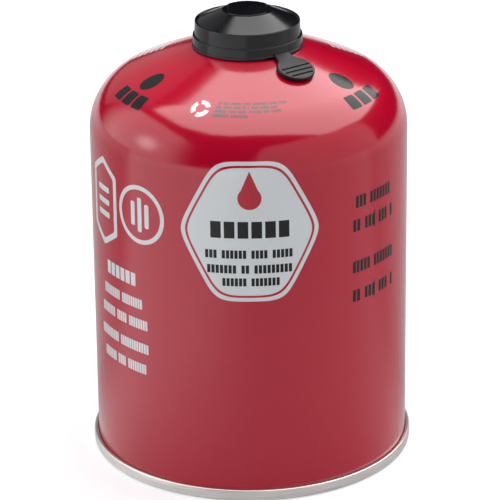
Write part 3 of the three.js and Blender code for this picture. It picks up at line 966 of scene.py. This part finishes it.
# %% [markdown]
# The coat is smooth, and the red beneath it slightly rough. Streaks move the red's roughness a little, so
# that a reflection's edge frays as it does on real drawn steel. Towards the neck the steel was drawn
# hardest, and the lacquer over it is duller. Most of the gloss is a clear coat, and the dark ink lies over
# it and takes it away. A weak bump adds the faint orange peel of lacquer.

# %% The lacquer's coat
LACQUER_IOR = 1.5
COAT_SHARE = 0.7
COAT_ROUGHNESS = 0.14
LACQUER_SMOOTHEST = 0.09
LACQUER_ROUGHEST = 0.17
NECK_DULLNESS = 0.05
NECK_DULL_FROM = 33.0
NECK_DULL_TO = 19.0
streaks = use(tree, streaking, Point=POINT, Fineness=900.0, Stretch=2.0)
uneven = ramp(tree, streaks.outputs["Streaks"], 0.3, 0.7, LACQUER_SMOOTHEST, LACQUER_ROUGHEST, "LINEAR")
near_neck = ramp(tree, OUT, NECK_DULL_FROM, NECK_DULL_TO, 0.0, NECK_DULLNESS)
dark_ink = largest(tree, label_ink, right_ink, crown_ink)
clear_coat = times(tree, minus(tree, 1.0, dark_ink), COAT_SHARE)
peel = times(tree, noise(tree, POINT, 900.0, 2.0), 0.3)
height = maths(tree, "MULTIPLY_ADD", streaks.outputs["Streaks"], 0.7, peel)
fed(tree, shader, Base_Color=colour, Roughness=plus(tree, uneven, near_neck),
    Coat_Weight=clear_coat, Normal=bumped(tree, height, 0.05, 0.2 * MM), IOR=LACQUER_IOR,
    Specular_IOR_Level=0.5 * (1 - COAT_SHARE), Coat_IOR=LACQUER_IOR, Coat_Roughness=COAT_ROUGHNESS)
dress(can, lacquer)

# %% [markdown]
# ## Tinplate
#
# The ring and the valve cup are bright tinned steel. It is fully metallic, and the rolls leave fine lines
# round it, so a small bump follows the streaks, with darker traces where the metal is dull, and the
# roughness drifts with a soft cloud.

# %% The tinplate's material
def tinplate_material(name, base, dark, rough_low, rough_high, fineness):
    material, tree, shader = new_material(name)
    point = object_point(tree)
    streaks = use(tree, streaking, Point=point, Fineness=fineness, Stretch=3.0)
    lines = streaks.outputs["Streaks"]
    rough = ramp(tree, streaks.outputs["Cloud"], 0.0, 1.0, rough_low, rough_high, "LINEAR")
    fed(tree, shader, Base_Color=mixed(tree, lines, dark, base), Roughness=rough,
        Normal=bumped(tree, lines, 0.25, 0.1 * MM), Metallic=1.0)
    return material


ring_tin = tinplate_material(
    "ring_tinplate", (0.80, 0.785, 0.755, 1), (0.46, 0.45, 0.43, 1), 0.32, 0.44, 2600.0)
cup_tin = tinplate_material(
    "cup_tinplate", (0.74, 0.72, 0.68, 1), (0.60, 0.58, 0.54, 1), 0.16, 0.30, 1800.0)
dress(tin_end, ring_tin)
dress(cup, cup_tin)
dress(thread, cup_tin)

# %% [markdown]
# ## Black plastic
#
# The cap is black moulded plastic with a soft sheen. Moulded surfaces have a very fine spark-eroded
# texture, here a small noise bump, and a slight unevenness of gloss. Handling leaves the raised edges a
# touch lighter, which the pointiness of the mesh would show, but the export can't carry it, so a light
# cloud does instead.

# %% The plastics and the rubber
def moulded(name, base, light, rough_low, rough_high, grain, depth, shine=0.5):
    material, tree, shader = new_material(name)
    point = object_point(tree)
    cloud = noise(tree, point, 160.0, 3.0)
    rough = ramp(tree, cloud, 0.0, 1.0, rough_low, rough_high, "LINEAR")
    fed(tree, shader, Base_Color=mixed(tree, cloud, base, light), Roughness=rough,
        Normal=bumped(tree, noise(tree, point, grain, 3.0), depth, 0.1 * MM), Specular_IOR_Level=shine)
    return material


cap_plastic = moulded(
    "cap_plastic", (0.0035, 0.0032, 0.0046, 1), (0.0065, 0.006, 0.0082, 1), 0.11, 0.21, 2500.0, 0.10, 0.28)
tab_plastic = moulded(
    "tab_plastic", (0.006, 0.0058, 0.007, 1), (0.010, 0.0095, 0.011, 1), 0.30, 0.42, 3500.0, 0.35, 0.24)
valve_plastic = moulded(
    "valve_plastic", (0.78, 0.76, 0.70, 1), (0.84, 0.82, 0.77, 1), 0.3, 0.45, 2500.0, 0.1)
rubber = moulded("seal_rubber", (0.012, 0.012, 0.014, 1), (0.03, 0.03, 0.033, 1), 0.6, 0.8, 3000.0, 0.3)
spring_steel = tinplate_material(
    "spring_steel", (0.66, 0.66, 0.66, 1), (0.5, 0.5, 0.5, 1), 0.2, 0.3, 2000.0)
for piece, material in (
        (cap, cap_plastic), (pad, cap_plastic), (tab, tab_plastic), (stem, valve_plastic),
        (housing, valve_plastic), (cup_seal, rubber), (stem_ring, rubber),
        (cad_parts["valve_spring"], spring_steel)):
    dress(piece, material)

# %% [markdown]
# ## The studio
#
# The object stands on a pale floor before a white backdrop, and the floor takes its soft shadow. Glossy
# lacquer is a mirror of the room, so the room matters as much as the paint. Above the horizon the room is
# dark, and a large soft box hangs in it overhead, with a tall one to the left, a pale wall to the right
# and a dim one behind. Between them the deep red of the shoulder shows without any glare. Mirrored, the
# floor glows more to the left and far off, and behind the can its paint carries painted shade.

# %% Floor and world
FLOOR_REACH = 3.0
FLOOR_DROP = 0.2 * MM
LEFT_FLOOR_GLOW = 0.8
FAR_FLOOR_GLOW = 0.5
BACK_FLOOR_PAINTED_SHADE = 0.5
FLOOR_TINT = (1.0, 1.0, 1.02)
BACK_FLOOR = (-0.03, 0.04)
LEFT_FLOOR_ACROSS = (0.03, -0.14)
LEFT_FLOOR_ALONG = (0.05, -0.05)
FAR_FLOOR = (0.25, 1.0)
SWEEP = (-0.01, -0.12)


def studio_white(name, shade, glow_low, glow_seen):
    """Pale paint with a little light of its own, and more of it for the camera."""
    material = bpy.data.materials.new(name)
    material.use_nodes = True
    tree = material.node_tree
    tree.nodes.clear()
    paint = add(tree, "ShaderNodeBsdfDiffuse")
    ray = add(tree, "ShaderNodeLightPath")
    glow = add(tree, "ShaderNodeEmission")
    glow.inputs["Color"].default_value = (*FLOOR_TINT, 1)
    point = object_point(tree)
    x, y, _ = parts_of(tree, point)
    glossy = ray.outputs["Is Glossy Ray"]
    # Painted shade: for reflections the floor's paint is made darker behind the can.
    behind = times(tree, ramp(tree, y, *BACK_FLOOR), times(tree, glossy, BACK_FLOOR_PAINTED_SHADE))
    pale = times(tree, minus(tree, 1.0, behind), shade)
    grey = add(tree, "ShaderNodeCombineColor")
    for channel, tint in enumerate(FLOOR_TINT):
        feed(tree, grey, channel, times(tree, pale, tint))
    tree.links.new(grey.outputs[0], paint.inputs["Color"])
    left = times(tree, ramp(tree, x, *LEFT_FLOOR_ACROSS), ramp(tree, y, *LEFT_FLOOR_ALONG))
    far = ramp(tree, length_of(tree, point), *FAR_FLOOR)
    mirrored_glow = maths(tree, "MULTIPLY_ADD", far, FAR_FLOOR_GLOW, times(tree, left, LEFT_FLOOR_GLOW))
    seen_glow = maths(tree, "MULTIPLY_ADD", ray.outputs["Is Camera Ray"], glow_seen - glow_low, glow_low)
    feed(tree, glow, "Strength", maths(tree, "MULTIPLY_ADD", mirrored_glow, glossy, seen_glow))
    both = add(tree, "ShaderNodeAddShader")
    tree.links.new(paint.outputs[0], both.inputs[0])
    tree.links.new(glow.outputs[0], both.inputs[1])
    out = add(tree, "ShaderNodeOutputMaterial")
    tree.links.new(both.outputs[0], out.inputs["Surface"])
    return material


floor = new_circle("floor", 64, FLOOR_REACH, (0, 0, -FLOOR_DROP))
settle()
dress(floor, studio_white("floor_white", 0.62, 0.12, 0.5))

world = bpy.data.worlds.new("studio")
bpy.context.scene.world = world
world.use_nodes = True
sky = world.node_tree
sky.nodes.clear()
rays = add(sky, "ShaderNodeLightPath")
direction = add(sky, "ShaderNodeTexCoord").outputs["Generated"]
sweep = ramp(sky, parts_of(sky, direction)["Z"], *SWEEP)
mirrored = largest(sky, rays.outputs["Is Glossy Ray"], rays.outputs["Is Transmission Ray"])


def background(strength):
    node = add(sky, "ShaderNodeBackground")
    feed(sky, node, "Strength", strength)
    return node.outputs[0]


def choose(ray, yes, no):
    node = add(sky, "ShaderNodeMixShader")
    sky.links.new(ray, node.inputs[0])
    sky.links.new(no, node.inputs[1])
    sky.links.new(yes, node.inputs[2])
    return node.outputs[0]


SOFT_LIGHT = 0.45
seen = choose(mirrored, background(sweep), background(SOFT_LIGHT))
seen = choose(rays.outputs["Is Camera Ray"], background(1.0), seen)
sky_out = add(sky, "ShaderNodeOutputWorld")
sky.links.new(seen, sky_out.inputs["Surface"])

# %% [markdown]
# A soft box has two jobs: it lights the object and it is mirrored in it. Here each job has its own thing.
# A lamp gives the light, and a glowing panel, which only reflections can see, gives the mirror image its
# outline and brightness. A panel is set by the compass headings and elevations of its corners, seen from
# the can, where heading 0 is towards the camera and 90 to the right.

# %% Panels that reflections see
PANEL_DISTANCE = 8.0


def heading_point(heading, elevation, distance):
    h, e = math.radians(heading), math.radians(elevation)
    return Vector((math.sin(h) * math.cos(e), -math.cos(h) * math.cos(e), math.sin(e))) * distance


def glow_material(name):
    material = bpy.data.materials.new(name)
    material.use_nodes = True
    tree = material.node_tree
    tree.nodes.clear()
    glow = add(tree, "ShaderNodeEmission")
    out = add(tree, "ShaderNodeOutputMaterial")
    tree.links.new(glow.outputs[0], out.inputs["Surface"])
    return material, tree, glow, out


def only_mirrored(panel):
    panel.visible_camera = False
    panel.visible_diffuse = False
    panel.visible_shadow = False


def glow_panel(name, corners, radiance, fades=()):
    """A glowing sheet with its corners at (heading, elevation), which may fade out between two headings."""
    panel = new_circle(name, len(corners), 1)
    for vertex, (heading, elevation) in zip(panel.data.vertices, corners):
        vertex.co = heading_point(heading, elevation, PANEL_DISTANCE)
    material, tree, glow, out = glow_material(name)
    strength = radiance
    if fades:
        x, y, _ = parts_of(tree, object_point(tree))
        heading = maths(tree, "ARCTAN2", x, times(tree, y, -1.0))
        for dark, bright in fades:
            fade = ramp(tree, heading, math.radians(dark), math.radians(bright))
            strength = times(tree, fade, strength)
    feed(tree, glow, "Strength", strength)
    dress(panel, material)
    only_mirrored(panel)


def glow_spot(name, heading, elevation, reach, radiance):
    """A round patch that adds light to what lies behind it and fades out to its edge, reach in degrees."""
    near = PANEL_DISTANCE / 2
    edge = near * math.tan(math.radians(reach))
    patch = new_circle(name, 32, edge)
    centre = heading_point(heading, elevation, near)
    patch.matrix_world = Matrix.Translation(centre) @ centre.to_track_quat("Z", "Y").to_matrix().to_4x4()
    material, tree, glow, out = glow_material(name)
    away = length_of(tree, object_point(tree))
    feed(tree, glow, "Strength", ramp(tree, away, 0.0, edge, radiance, 0.0, "SMOOTHERSTEP"))
    clear = add(tree, "ShaderNodeBsdfTransparent")
    both = add(tree, "ShaderNodeAddShader")
    tree.links.new(glow.outputs[0], both.inputs[0])
    tree.links.new(clear.outputs[0], both.inputs[1])
    tree.links.new(both.outputs[0], out.inputs["Surface"])
    dress(patch, material)
    only_mirrored(patch)


glow_panel("overhead_panel", [
    (-75, 54.5), (-40, 55.5), (-18, 57.5), (0, 59.5), (41.8, 54.5), (65.8, 37.4), (104, 30.7), (143.3, 21.8),
    (153.4, 36.3), (-150.4, 56), (-121, 48)], 4.3)
glow_panel("left_panel", [
    (-34, -2), (-36, 28), (-60, 41), (-90, 45.6), (-115, 41), (-136, 31), (-142, -2)], 1.9,
    [(-38, -66), (-138, -112)])
glow_spot("left_spot", -79.6, 16.8, 15, 4.0)
glow_panel("right_panel", [
    (3, -2), (5, 19), (11, 36), (29, 40), (62, 38), (85, 34), (100, 30), (103, -2)], 0.95)
glow_panel("back_panel", [(-118, 45), (-128, 8), (-170, 4), (-170, 42)], 0.28, [(-118, -135)])

# %% [markdown]
# The lamps are area lights hidden from reflections. Their power follows from how bright each box's face
# is.

# %% Lamps
def soft_box(name, centre, aim, width, depth, radiance):
    data = bpy.data.lights.new(name, "AREA")
    data.shape = "RECTANGLE"
    data.size = width
    data.size_y = depth
    data.energy = radiance * math.pi * width * depth
    box = bpy.data.objects.new(name, data)
    bpy.context.scene.collection.objects.link(box)
    box.location = centre
    box.rotation_euler = (Vector(aim) - Vector(centre)).to_track_quat("-Z", "Y").to_euler()
    box.visible_glossy = False
    return box


soft_box("overhead_box", (0.15, 0.2, 1.0), (0, 0, 0.1), 1.2, 1.0, 3.0)
soft_box("left_box", (-1.0, -0.2, 0.55), (0, 0, 0.1), 0.8, 0.7, 1.7)
soft_box("right_box", (1.1, 0.1, 0.5), (0, 0, 0.1), 0.8, 0.7, 1.1)

# %% [markdown]
# ## The camera
#
# The photograph was taken from a little above the can, about a metre away, with a long lens. The numbers
# are the result of fitting the can's outline to the picture, and they place the camera on the object's
# own axes.

# %% Camera
ELEVATION = math.radians(22.084)
DISTANCE = 1.0567
LOOK_HEIGHT = 68.2 * MM
ROLL = math.radians(-0.666)
FOCAL_IN_FRAMES = 3090.8 / 500
camera_data = bpy.data.cameras.new("camera")
camera_data.sensor_width = 36
camera_data.lens = 36 * FOCAL_IN_FRAMES
camera = bpy.data.objects.new("camera", camera_data)
bpy.context.scene.collection.objects.link(camera)
position = Vector((0, -DISTANCE * math.cos(ELEVATION), LOOK_HEIGHT + DISTANCE * math.sin(ELEVATION)))
camera.matrix_world = (
    Matrix.Translation(position)
    @ Matrix.Rotation(math.pi / 2 - ELEVATION, 4, "X")
    @ Matrix.Rotation(ROLL, 4, "Z"))
bpy.context.scene.camera = camera
bpy.context.scene.view_settings.view_transform = "Standard"
